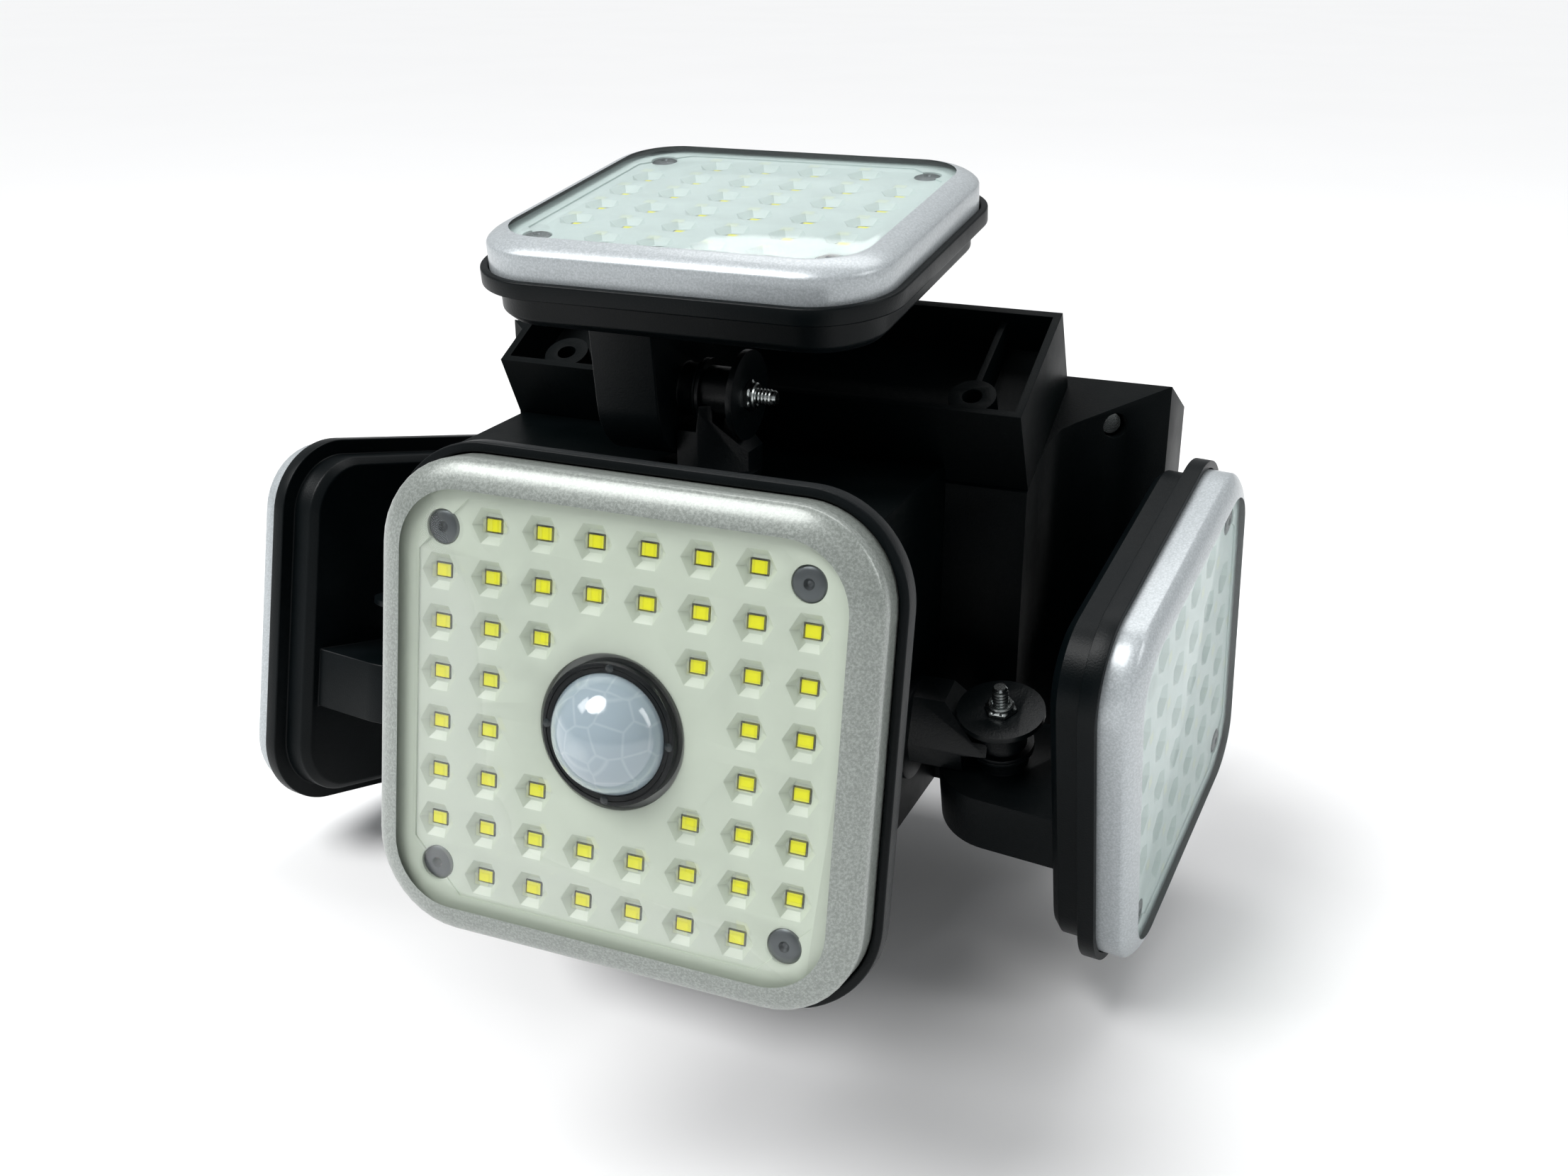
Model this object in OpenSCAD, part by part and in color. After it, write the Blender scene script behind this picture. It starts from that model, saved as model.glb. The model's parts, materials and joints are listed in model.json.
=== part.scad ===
// Four-head motion-sensing floodlight: a wall body with an open tray and four lamp heads on tilting, swivelling arms.
// Frame: origin at the middle of the back plate's wall face, +Z up, front towards -Y, millimetres.

/* [Which node to draw] */

// one node name, or all

/* [Lamp head] */

// half width of the housing's rim
rim_hw = 52.8; // [40:0.1:70]
// half height of the housing's rim
rim_hh = 49; // [38:0.1:66]
// corner radius of the rim
rim_r = 20; // [10:0.5:24]
// half width of the rear tub
tub_hw = 48.6; // [36:0.1:66]
// half height of the rear tub
tub_hh = 45; // [34:0.1:62]
// corner radius of the rear tub
tub_r = 16; // [8:0.5:20]
// depth of the rear plane behind the light board's face
tub_depth = 16.5; // [12:0.5:26]
// half width of the lens cover's outer wall
lens_hw = 50.7; // [38:0.1:68]
// half height of the lens cover's outer wall
lens_hh = 46.8; // [36:0.1:64]
// corner radius of the lens cover's outer wall
lens_r = 18; // [8:0.5:22]
// height of the lens cover's front face above the light board
lens_top = 4.4; // [3.5:0.1:8]
// screw distance from the head's centre, sideways
screw_x = 36.74; // [25:0.01:44]
// screw distance from the head's centre, along the other side
screw_y = 33.44; // [25:0.01:42]
// radius of the motion sensor's dome
dome_r = 11.5; // [8:0.1:14]
// outer radius of the motion sensor's bezel
bezel_r = 13.65; // [10:0.05:16]

/* [Hinge] */

// hinge axis to the head's centre, across the head
axis_y = 25; // [15:0.5:32]
// hinge axis behind the light board's face
axis_d = 36; // [30:0.5:44]
// radius of the hinge lug's round end
lug_r = 16; // [10:0.5:18]
// radius of the M4 hinge bolt
bolt_r = 2; // [1.5:0.05:3]
// radial running clearance of the lug on the bolt
bolt_fit = 0.05; // [0.01:0.01:0.1]
// radius of the arm's hub disc
disc_r = 10.8; // [8:0.1:13]

/* [Head places] */

// front head's hinge point
front_at = [34, -176.6, -5.6]; // [-260:0.1:260]
// top head's hinge point
top_at = [0.1, -97.2, 57.7]; // [-260:0.1:260]
// right head's hinge point
right_at = [75.5, -88.9, -26.4]; // [-260:0.1:260]
// left head's hinge point
left_at = [-95, -94, -25]; // [-260:0.1:260]
// front head's tilt at rest
front_tilt = -9.4; // [-20:0.1:20]
// top head's tilt at rest
top_tilt = 7.5; // [-20:0.1:20]
// right head's tilt and arm swivel at rest
right_turn = [-5.2, 16]; // [-30:0.1:30]
// left head's tilt and arm swivel at rest
left_turn = [-12.5, -13]; // [-30:0.1:30]

/* [Body] */

// half width of the main body and the tray
body_hw = 72; // [60:0.5:90]
// front face of the main body
body_front = -65; // [-80:0.5:-50]
// bottom of the body
body_bottom = -53; // [-70:0.5:-40]
// arm block's left face, right face, front face and top
block = [-71, 51, -153, 36.5]; // [-180:0.5:80]
// tray's front top edge, distance from the wall
tray_y = 75; // [60:0.5:90]
// tray's front top edge, height
tray_z = 53; // [40:0.5:70]
// slope of the tray up towards the wall
tray_slope = 26.565; // [10:0.005:40]
// length of the tray's side wall along the slope
tray_len = 40; // [30:0.5:60]
// depth of the tray inside
tray_depth = 12; // [8:0.5:20]
// distance of each tray boss from the middle
boss_x = 57; // [40:0.5:64]
// radius of the hole through each tray boss
boss_hole = 2.5; // [1.5:0.1:3.5]
// half width of the shelf's back edge
wing_hw = 98.5; // [80:0.5:110]
// wall thickness of the body
wall = 2.5; // [2:0.1:4]
// half spacing of the wall screw holes, sideways
plate_x = 55; // [30:0.5:64]
// half spacing of the wall screw holes, up and down
plate_z = 36; // [20:0.5:44]
// height of the middle of the wall screw holes
plate_mid = -8; // [-20:0.5:10]
// radius of the wall screw holes
plate_hole = 2.75; // [2:0.05:4]

/* [Hidden] */

$fn = 64;
eps = 0.01;
gap = 0.2;            // between faces of bodies that move past each other
rim_back = 8.3;       // depth of the rim's back face
rim_front = 4.2;      // depth of the rim's front edge
seat = 7;             // depth of the gasket's seat
skirt = 5;            // depth of the lens cover's lower edge
shell_t = 2;          // head housing wall
lens_t = 1.8;         // lens cover wall
board_t = 1.4;        // light board thickness
reflector_top = 2.5;
lug_x0 = -21.5;       // lug's outer face along the hinge axis
lug_x1 = -5;          // lug's inner face
ring_r = 7.9;
collar_r = 6.4;
neck_r = 6.2;
disc_x = 9.8;
disc_top = 11.3;
nut_x = 10.3;
nut_t = 3.2;
nut_af = 7;
bolt_end = 18.5;
post_hw = 7.5;        // half depth of the arm's post
post_x = -4.6;        // post's face beside the lug
foot_r = 13;
spigot_r = 9;
flange_r = 13;
flange_t = 2.4;
spigot_len = wall + 3;
tray_wall = 2;
tray_skirt = 24;      // outside height of the tray's walls
boss_r = 6;
bezel_top = 3.8;
dome_t = 0.9;
cap_h = 8.2;          // the dome's height over its bezel
cap_r = (pow(dome_r, 2) + pow(cap_h, 2)) / (2 * cap_h);
cap_z = bezel_top + cap_h - cap_r;
boss_s = 9;           // boss centre behind the front wall, along the slope
shelf_back = -25;     // shelf's back edge
low_hw = 88;          // half width of the body's wide back, low down
cheek_screw = [86.4, -34.05, 41.6];
cheek_turn = 36.8;    // cheek's turn from the front
plate_sx = 66;        // places of the back plate's own screws
way_hw = 60;          // half width of the body's open back
plate_sz = 38;
plate_t = 3;

function shelf_z(y) = 51 + (y - shelf_back) * tan(tray_slope);

// a rounded rectangle from half sizes
module rr(hw, hh, r) {
    square([2 * hw, 2 * (hh - r)], center = true);
    square([2 * (hw - r), 2 * hh], center = true);
    for (i = [-1, 1], j = [-1, 1]) translate([i * (hw - r), j * (hh - r)]) circle(r = r);
}

// a straight slab of rounded-rectangle section between two heights
module slab(hw, hh, r, z0, z1) {
    translate([0, 0, z0]) linear_extrude(height = z1 - z0) rr(hw, hh, r);
}

// a slab that narrows evenly by inset from z0 to z1, z1 may be below z0
module bevel(hw, hh, r, z0, z1, inset) {
    h = abs(z1 - z0);
    translate([0, 0, z0]) mirror([0, 0, z1 < z0 ? 1 : 0]) {
        for (i = [-1, 1], j = [-1, 1])
            translate([i * (hw - r), j * (hh - r), 0]) cylinder(h = h, r1 = r, r2 = r - inset);
        rotate([90, 0, 90]) linear_extrude(height = 2 * (hw - r), center = true)
            polygon([[-hh, 0], [hh, 0], [hh - inset, h], [inset - hh, h]]);
        rotate([90, 0, 0]) linear_extrude(height = 2 * (hh - r), center = true)
            polygon([[-hw, 0], [hw, 0], [hw - inset, h], [inset - hw, h]]);
    }
}

// a cylinder along X between two places
module xcyl(r, x0, x1) {
    translate([x0, 0, 0]) rotate([0, 90, 0]) cylinder(h = x1 - x0, r = r);
}

module xhex(af, x0, x1) {
    translate([x0, 0, 0]) rotate([0, 90, 0]) cylinder(h = x1 - x0, r = af / sqrt(3), $fn = 6);
}

// Head places. Hinge frame: X along the hinge bolt, Z out of the lamp's face.
// side is -1 when the lug is on the head's -Y edge, +1 when it is on the +Y edge.
module front_arm_frame() { translate(front_at) rotate([90, 0, 0]) children(); }
module top_arm_frame() { translate(top_at) children(); }
module right_arm_frame() {
    translate(right_at) rotate([right_turn[1], 0, 0]) rotate([0, 90, 0]) rotate([0, 0, 180]) children();
}
module left_arm_frame() {
    translate(left_at) rotate([left_turn[1], 0, 0]) rotate([0, -90, 0]) children();
}
module head_frame(tilt, side) { rotate([tilt, 0, 0]) translate([0, -side * axis_y, axis_d]) children(); }
module front_frame() { front_arm_frame() head_frame(front_tilt, -1) children(); }
module top_frame() { top_arm_frame() head_frame(top_tilt, -1) children(); }
module right_frame() { right_arm_frame() head_frame(right_turn[0], 1) children(); }
module left_frame() { left_arm_frame() head_frame(left_turn[0], -1) children(); }

// ---- pieces of a head, in the head's own frame: the light board's face is z = 0 ----

module housing(side) {
    boss_r2 = 4;
    color("#14181a") difference() {
        union() {
            slab(rim_hw, rim_hh, rim_r, -rim_back, -rim_front);
            slab(tub_hw, tub_hh, tub_r, 2 - tub_depth, -rim_back);
            bevel(tub_hw, tub_hh, tub_r, 2 - tub_depth, -tub_depth, 2);
            translate([0, side * axis_y, -axis_d]) {
                xcyl(lug_r, lug_x0, lug_x1);
                translate([lug_x0, -lug_r, 0]) cube([lug_x1 - lug_x0, 2 * lug_r, axis_d - tub_depth + eps]);
                xcyl(collar_r, lug_x1 - eps, -0.8);
                xcyl(ring_r, -0.8 - eps, 0.1);
            }
        }
        difference() {
            slab(tub_hw - shell_t, tub_hh - shell_t, tub_r - shell_t, shell_t - tub_depth, 0);
            for (i = [-1, 1], j = [-1, 1]) translate([i * screw_x, j * screw_y, -tub_depth])
                cylinder(h = tub_depth - board_t, r = boss_r2);
        }
        slab(lens_hw + gap + 0.1, lens_hh + gap + 0.1, lens_r + gap + 0.1, -seat, 0);
        for (i = [-1, 1], j = [-1, 1]) translate([i * screw_x, j * screw_y, -12]) cylinder(h = 12, r = 1.5);
        translate([0, side * axis_y, -axis_d]) {
            xcyl(bolt_r + bolt_fit, lug_x0 - 1, 2);
            xcyl(4.4, lug_x0 - 1, lug_x0 + 4.4);
        }
    }
}

module gasket() {
    color("#2a2c2e") difference() {
        slab(lens_hw, lens_hh, lens_r, -seat, -skirt);
        slab(lens_hw - 2, lens_hh - 2, lens_r - 2, -seat - 1, 0);
    }
}

module board() {
    color("#d8dcda") difference() {
        slab(tub_hw - shell_t - 0.1, tub_hh - shell_t - 0.1, tub_r - shell_t, -board_t, 0);
        for (i = [-1, 1], j = [-1, 1]) translate([i * screw_x, j * screw_y, -2]) cylinder(h = 3, r = 1.7);
    }
}

// Chip places: the front head has a grid of eight by eight less its corners and the sensor's place,
// the other heads have six by six less the corners.
function corner_of(i, j, n) = (i == 0 || i == n - 1) && (j == 0 || j == n - 1);
function near_sensor(i, j) = let (a = abs(i - 3.5), b = abs(j - 3.5)) (a < 2 && b < 1) || (a < 1 && b < 2);
function spots(front) = front
    ? [for (i = [0 : 7], j = [0 : 7]) if (!corner_of(i, j, 8) && !near_sensor(i, j))
        [(i - 3.5) * 10.7, (j - 3.5) * 9.92]]
    : [for (i = [0 : 5], j = [0 : 5]) if (!corner_of(i, j, 6)) [(i - 2.5) * 13.7, (j - 2.5) * 12.7]];

module leds(front) {
    color("#e1d70a") for (p = spots(front)) translate([p[0], p[1], 0.35]) cube([3.5, 2.8, 0.7], center = true);
}

module reflector(front) {
    color("#dfe6df") difference() {
        slab(47, 43.1, 14.3, gap, reflector_top);
        for (p = spots(front)) translate([p[0], p[1], 0]) cylinder(h = 3, r = front ? 4 : 4.6, $fn = 6);
        for (i = [-1, 1], j = [-1, 1]) translate([i * screw_x, j * screw_y, 0]) {
            cylinder(h = 3, r = 1.7);
            translate([0, 0, 1.2]) cylinder(h = 3, r = 3.5);
        }
        if (front) cylinder(h = 3, r = bezel_r + 0.1);
    }
}

module lens(front) {
    color([0.85, 0.88, 0.88, 0.5]) difference() {
        union() {
            slab(lens_hw, lens_hh, lens_r, -skirt, 1.7);
            bevel(lens_hw, lens_hh, lens_r, 1.7, 3.3, 1.6);
            bevel(lens_hw - 1.6, lens_hh - 1.6, lens_r - 1.6, 3.3, lens_top, 4);
        }
        slab(lens_hw - lens_t, lens_hh - lens_t, lens_r - lens_t, -skirt - 1, 1);
        bevel(lens_hw - lens_t, lens_hh - lens_t, lens_r - lens_t, 1 - eps, 2.8, 1.6);
        if (front) cylinder(h = 20, r = bezel_r + 0.1, center = true);
    }
}

module head_screws() {
    color("#3b3f42") for (i = [-1, 1], j = [-1, 1]) translate([i * screw_x, j * screw_y, 0]) difference() {
        union() {
            translate([0, 0, -11]) cylinder(h = 12.3, r = 1.45);
            translate([0, 0, 1.25]) cylinder(h = 1.2, r = 3.3);
        }
        for (a = [0, 90]) rotate([0, 0, a]) translate([-1.6, -0.3, 1.7]) cube([3.2, 0.6, 2]);
    }
}

// ---- motion sensor, front head only ----

module sensor_bezel() {
    color("#101416") difference() {
        union() {
            cylinder(h = bezel_top - 0.4, r = bezel_r);
            translate([0, 0, bezel_top - 0.4 - eps]) cylinder(h = 0.4 + eps, r1 = bezel_r, r2 = bezel_r - 0.4);
        }
        translate([0, 0, -1]) cylinder(h = 9, r = dome_r + 0.05);
    }
}

module sensor_dome() {
    color("#dfe6ee") difference() {
        intersection() {
            union() {
                translate([0, 0, 1]) cylinder(h = bezel_top - 1, r = dome_r);
                translate([0, 0, cap_z]) sphere(r = cap_r);
            }
            translate([0, 0, 1]) cylinder(h = 20, r = dome_r);
        }
        intersection() {
            translate([0, 0, cap_z]) sphere(r = cap_r - dome_t);
            cylinder(h = 20, r = dome_r - dome_t);
        }
    }
}

module sensor_can() {
    color("#c9c9c4") {
        cylinder(h = 0.8, r = 4.9);
        translate([0, 0, 0.8 - eps]) cylinder(h = 3.2, r = 4.1);
    }
}

// ---- hinge and arm, in the hinge frame before the head's tilt ----

// reach is the distance from the hinge axis down to the body's face, side is the head's lug side
module arm(reach, side) {
    color("#14181a") mirror([0, side > 0 ? 1 : 0, 0]) difference() {
        union() {
            xcyl(ring_r, 0.3, 1.2 + eps);
            xcyl(neck_r, 1.2, disc_x + eps);
            xcyl(disc_r, disc_x, disc_top);
            // post: beside the lug, under the ring, and sloping away from the neck to the nut's side
            intersection() {
                rotate([90, 0, 0]) linear_extrude(height = 2 * post_hw, center = true)
                    polygon([[post_x, gap - reach], [post_x, -ring_r - 0.5], [0.5, -ring_r - 0.5], [1.3, -2], [4, -2],
                        [4, -6], [disc_top, -14], [disc_top, gap - reach]]);
                translate([0, 0, -reach]) linear_extrude(height = reach)
                    polygon([[post_x, -post_hw], [1.1, -post_hw], [disc_top, -1], [disc_top, post_hw], [post_x, post_hw]]);
            }
            // round foot and the spigot that passes into the body
            translate([0, 0, -reach + gap]) cylinder(h = 2.2, r = foot_r);
            translate([0, 0, -reach - spigot_len]) cylinder(h = spigot_len + 1, r = spigot_r);
        }
        xcyl(bolt_r + bolt_fit, -1, 30);
        xhex(nut_af + 0.3, nut_x, 30);
        translate([0, 0, -reach - spigot_len - 1]) cylinder(h = 8, r = 1.45);
    }
}

module bolt() {
    color("#c4c8ca") {
        xcyl(bolt_r, lug_x0 + 4, bolt_end);
        difference() {
            xcyl(3.9, lug_x0 + 0.6, lug_x0 + 4.2);
            xhex(2.5, lug_x0, lug_x0 + 2.4);
        }
    }
}

module nut() {
    color("#c4c8ca") difference() {
        xhex(nut_af, nut_x + 0.05, nut_x + nut_t);
        xcyl(bolt_r + 0.02, 0, 30);
    }
}

// washer and screw that hold the spigot inside the body
module retainer(reach) {
    color("#9fa4a6") translate([0, 0, -reach - spigot_len]) {
        translate([0, 0, -flange_t]) cylinder(h = flange_t, r = flange_r);
        translate([0, 0, -flange_t - 1.8]) cylinder(h = 1.8 + eps, r = 3);
        cylinder(h = 6, r = 1.4);
    }
}

// ---- body ----

module tray_frame() { translate([0, -tray_y, tray_z]) rotate([tray_slope, 0, 0]) children(); }

// places of the four arm openings in the block's faces
module arm_ports(r) {
    translate([top_at[0], top_at[1], block[3] - wall - 1]) cylinder(h = wall + 2, r = r);
    translate([block[1] - wall - 1, right_at[1], right_at[2]]) rotate([0, 90, 0]) cylinder(h = wall + 2, r = r);
    translate([block[0] - 1, left_at[1], left_at[2]]) rotate([0, 90, 0]) cylinder(h = wall + 2, r = r);
    translate([front_at[0], block[2] - 1, front_at[2]]) rotate([-90, 0, 0]) cylinder(h = wall + 2, r = r);
}

// side view of the main body: the tray stands on its sloping top
module body_side(t) {
    polygon([[-plate_t, body_bottom + t], [body_front + t, body_bottom + t], [body_front + t, shelf_z(body_front) - t],
        [shelf_back, shelf_z(shelf_back) - t], [-plate_t, 40 - t]]);
}

// plan of the main body: narrow behind the tray, then a curved cheek out to the wide back
module body_plan(t) {
    half = [[body_hw, body_front], [body_hw, -54], [72.4, -50], [73.2, -46.5], [74.7, -43.2], [77.5, -40.7],
        [wing_hw, shelf_back], [wing_hw, -plate_t]];
    offset(delta = -t) polygon(concat(half, [for (i = [len(half) - 1 : -1 : 0]) [-half[i][0], half[i][1]]]));
}

// front view of the main body: the wide back narrows below the heads' middle
module body_face(t) {
    hw = wing_hw - t;
    lo = low_hw - t;
    polygon([[-hw, 8], [-hw, 70], [hw, 70], [hw, 8], [lo, -10], [lo, body_bottom + t], [-lo, body_bottom + t], [-lo, -10]]);
}

module body_solid(t) {
    intersection() {
        translate([-wing_hw, 0, 0]) rotate([90, 0, 90]) linear_extrude(height = 2 * wing_hw) body_side(t);
        translate([0, 0, body_bottom]) linear_extrude(height = 120) body_plan(t);
        rotate([90, 0, 0]) linear_extrude(height = 100) body_face(t);
    }
}

// plan of the arm block, its left front corner cut back
module block_plan() {
    polygon([[block[0], body_front - 0.02], [block[0], -107], [-30, block[2]], [block[1], block[2]],
        [block[1], body_front - 0.02]]);
}

module cheek_frame(m) {
    mirror([m, 0, 0]) translate(cheek_screw) rotate([0, 0, cheek_turn]) rotate([90, 0, 0]) children();
}

module shell() {
    color("#14181a") difference() {
        union() {
            difference() {
                body_solid(0);
                body_solid(wall);
                translate([-way_hw, -plate_t - wall - 1, body_bottom + wall]) cube([2 * way_hw, 9, 70]);
            }
            for (i = [-1, 1], j = [-1, 1]) translate([i * plate_sx, -plate_t, plate_mid + j * plate_sz])
                rotate([90, 0, 0]) cylinder(h = 12, r = 3.5);
            for (m = [0, 1]) intersection() {
                body_solid(0);
                cheek_frame(m) translate([0, 0, -9]) cylinder(h = 12, r = 5);
            }
        }
        for (i = [-1, 1], j = [-1, 1]) translate([i * plate_sx, 0, plate_mid + j * plate_sz])
            rotate([90, 0, 0]) cylinder(h = 14, r = 1.55);
        for (m = [0, 1]) cheek_frame(m) {
            translate([0, 0, -5]) cylinder(h = 12, r = 3.3);
            translate([0, 0, -12]) cylinder(h = 12, r = 1.55);
        }
        // way through to the arm block, and the cable's hole
        translate([-60, body_front - 1, body_bottom + 8]) cube([105, wall + 2, 64]);
        translate([40, -30, body_bottom - 1]) cylinder(h = wall + 2, r = 4);
        // room for the ends of the tray's screws
        tray_frame() for (i = [-1, 1]) translate([i * boss_x, boss_s, -tray_skirt - 10]) cylinder(h = 12, r = boss_hole + 1.2);
    }
}

module arm_block() {
    color("#14181a") difference() {
        translate([0, 0, body_bottom]) linear_extrude(height = block[3] - body_bottom) block_plan();
        translate([0, 0, body_bottom + wall]) linear_extrude(height = block[3] - body_bottom - 2 * wall) union() {
            offset(delta = -wall) block_plan();
            translate([block[0] + wall, body_front - 10]) square([block[1] - block[0] - 2 * wall, 20]);
        }
        arm_ports(spigot_r + 0.3);
        tray_frame() translate([-body_hw - 1, -0.05, -tray_skirt - 0.05]) cube([2 * body_hw + 2, 60, 80]);
    }
}

module cheek_screws() {
    color("#3b3f42") for (m = [0, 1]) cheek_frame(m) {
        translate([0, 0, -5 + eps]) cylinder(h = 2.2, r = 2.7);
        translate([0, 0, -11]) cylinder(h = 6.2, r = 1.45);
    }
}

module tray() {
    color("#14181a") tray_frame() difference() {
        union() {
            difference() {
                translate([-body_hw, 0, -tray_skirt]) cube([2 * body_hw, tray_len, tray_skirt]);
                translate([tray_wall - body_hw, tray_wall, -tray_depth])
                    cube([2 * (body_hw - tray_wall), tray_len - 2 * tray_wall, 30]);
            }
            for (i = [-1, 1]) translate([i * boss_x, boss_s, -tray_depth - eps]) cylinder(h = tray_depth - 3, r = boss_r);
            translate([boss_x - 0.8, boss_s, -tray_depth - eps]) cube([1.6, tray_len - boss_s - 1, tray_depth - 3]);
        }
        for (i = [-1, 1]) translate([i * boss_x, boss_s, -tray_skirt - 1]) cylinder(h = 40, r = boss_hole);
    }
}

module back_plate() {
    color("#14181a") difference() {
        translate([-body_hw, -plate_t + 0.05, body_bottom]) cube([2 * body_hw, plate_t - 0.05, 40 - body_bottom]);
        for (i = [-1, 1], j = [-1, 1]) translate([i * plate_x, 1, plate_mid + j * plate_z])
            rotate([90, 0, 0]) cylinder(h = plate_t + 3, r = plate_hole);
        for (i = [-1, 1], j = [-1, 1]) translate([i * plate_sx, 1, plate_mid + j * plate_sz]) rotate([90, 0, 0]) {
            cylinder(h = plate_t + 3, r = 1.6);
            cylinder(h = 2.7, r = 3);
        }
    }
}

module plate_screws() {
    color("#3b3f42") for (i = [-1, 1], j = [-1, 1]) translate([i * plate_sx, -0.2, plate_mid + j * plate_sz])
        rotate([90, 0, 0]) {
            cylinder(h = 1.5, r = 2.8);
            cylinder(h = 11, r = 1.45);
        }
}

module battery() {
    color("#3a6ea5") for (i = [-1, 0, 1]) translate([i * 19.5, -20, -45]) cylinder(h = 65, r = 9.2);
}

module control_board() {
    color("#1f5a3a") {
        translate([-40, -56, -45]) cube([80, 1.6, 60]);
        for (x = [-28, -6, 16]) translate([x, -54.5, -20]) cube([12, 7, 9]);
    }
}

module grommet() {
    color("#2a2c2e") translate([40, -30, body_bottom]) difference() {
        union() {
            translate([0, 0, -1.6]) cylinder(h = 1.55, r = 6);
            translate([0, 0, -1]) cylinder(h = wall + 3, r = 3.95);
        }
        translate([0, 0, -5]) cylinder(h = 20, r = 2);
    }
}

// ---- nodes ----

module front_housing() { front_frame() housing(-1); }
module front_gasket() { front_frame() gasket(); }
module front_board() { front_frame() board(); }
module front_leds() { front_frame() leds(true); }
module front_reflector() { front_frame() reflector(true); }
module front_lens() { front_frame() lens(true); }
module front_screws() { front_frame() head_screws(); }
module front_arm() { front_arm_frame() arm(block[2] - front_at[1], -1); }
module front_bolt() { front_arm_frame() bolt(); }
module front_nut() { front_arm_frame() nut(); }
module front_retainer() { front_arm_frame() retainer(block[2] - front_at[1]); }
module top_housing() { top_frame() housing(-1); }
module top_gasket() { top_frame() gasket(); }
module top_board() { top_frame() board(); }
module top_leds() { top_frame() leds(false); }
module top_reflector() { top_frame() reflector(false); }
module top_lens() { top_frame() lens(false); }
module top_screws() { top_frame() head_screws(); }
module top_arm() { top_arm_frame() arm(top_at[2] - block[3], -1); }
module top_bolt() { top_arm_frame() bolt(); }
module top_nut() { top_arm_frame() nut(); }
module top_retainer() { top_arm_frame() retainer(top_at[2] - block[3]); }
module right_housing() { right_frame() housing(1); }
module right_gasket() { right_frame() gasket(); }
module right_board() { right_frame() board(); }
module right_leds() { right_frame() leds(false); }
module right_reflector() { right_frame() reflector(false); }
module right_lens() { right_frame() lens(false); }
module right_screws() { right_frame() head_screws(); }
module right_arm() { right_arm_frame() arm(right_at[0] - block[1], 1); }
module right_bolt() { right_arm_frame() bolt(); }
module right_nut() { right_arm_frame() nut(); }
module right_retainer() { right_arm_frame() retainer(right_at[0] - block[1]); }
module left_housing() { left_frame() housing(-1); }
module left_gasket() { left_frame() gasket(); }
module left_board() { left_frame() board(); }
module left_leds() { left_frame() leds(false); }
module left_reflector() { left_frame() reflector(false); }
module left_lens() { left_frame() lens(false); }
module left_screws() { left_frame() head_screws(); }
module left_arm() { left_arm_frame() arm(block[0] - left_at[0], -1); }
module left_bolt() { left_arm_frame() bolt(); }
module left_nut() { left_arm_frame() nut(); }
module left_retainer() { left_arm_frame() retainer(block[0] - left_at[0]); }
module motion_bezel() { front_frame() sensor_bezel(); }
module motion_dome() { front_frame() sensor_dome(); }
module motion_sensor() { front_frame() sensor_can(); }
front_housing();
front_gasket();
front_board();
front_leds();
front_reflector();
front_lens();
front_screws();
front_arm();
front_bolt();
front_nut();
front_retainer();
top_housing();
top_gasket();
top_board();
top_leds();
top_reflector();
top_lens();
top_screws();
top_arm();
top_bolt();
top_nut();
top_retainer();
right_housing();
right_gasket();
right_board();
right_leds();
right_reflector();
right_lens();
right_screws();
right_arm();
right_bolt();
right_nut();
right_retainer();
left_housing();
left_gasket();
left_board();
left_leds();
left_reflector();
left_lens();
left_screws();
left_arm();
left_bolt();
left_nut();
left_retainer();
motion_bezel();
motion_dome();
motion_sensor();
shell();
arm_block();
cheek_screws();
tray();
back_plate();
plate_screws();
battery();
control_board();
grommet();
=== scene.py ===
# Motion-sensing floodlight with four lamp heads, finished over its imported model.
import json
import math

import bmesh
import bpy
from mathutils import Euler, Matrix, Vector


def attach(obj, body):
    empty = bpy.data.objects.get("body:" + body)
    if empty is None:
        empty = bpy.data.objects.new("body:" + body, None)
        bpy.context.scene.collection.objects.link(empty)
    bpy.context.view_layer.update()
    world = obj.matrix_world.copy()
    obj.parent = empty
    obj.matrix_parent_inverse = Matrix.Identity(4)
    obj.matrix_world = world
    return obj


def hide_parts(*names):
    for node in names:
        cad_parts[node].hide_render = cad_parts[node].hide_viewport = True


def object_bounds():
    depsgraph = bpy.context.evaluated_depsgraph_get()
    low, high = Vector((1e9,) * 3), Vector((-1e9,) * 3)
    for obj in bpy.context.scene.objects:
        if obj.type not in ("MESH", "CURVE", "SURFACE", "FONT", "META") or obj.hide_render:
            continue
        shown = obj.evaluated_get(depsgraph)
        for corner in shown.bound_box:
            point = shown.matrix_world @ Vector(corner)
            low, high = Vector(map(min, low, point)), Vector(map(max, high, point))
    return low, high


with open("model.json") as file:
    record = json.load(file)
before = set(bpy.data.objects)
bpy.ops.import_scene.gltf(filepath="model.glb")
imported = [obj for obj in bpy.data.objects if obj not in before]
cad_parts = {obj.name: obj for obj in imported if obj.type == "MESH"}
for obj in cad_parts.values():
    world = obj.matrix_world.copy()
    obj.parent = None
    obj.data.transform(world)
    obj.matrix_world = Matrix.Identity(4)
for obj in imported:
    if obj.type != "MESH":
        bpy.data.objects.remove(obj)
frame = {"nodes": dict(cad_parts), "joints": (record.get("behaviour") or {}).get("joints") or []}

CAD_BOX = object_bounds()
MM = 0.001
NODES = frame["nodes"]

# ---------------------------------------------------------------- sizes of a lamp head, in millimetres

LENS = (50.7, 46.8, 18.0)  # the lens cover's outer wall: half width, half height, corner radius
LENS_TOP = 4.4
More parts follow.
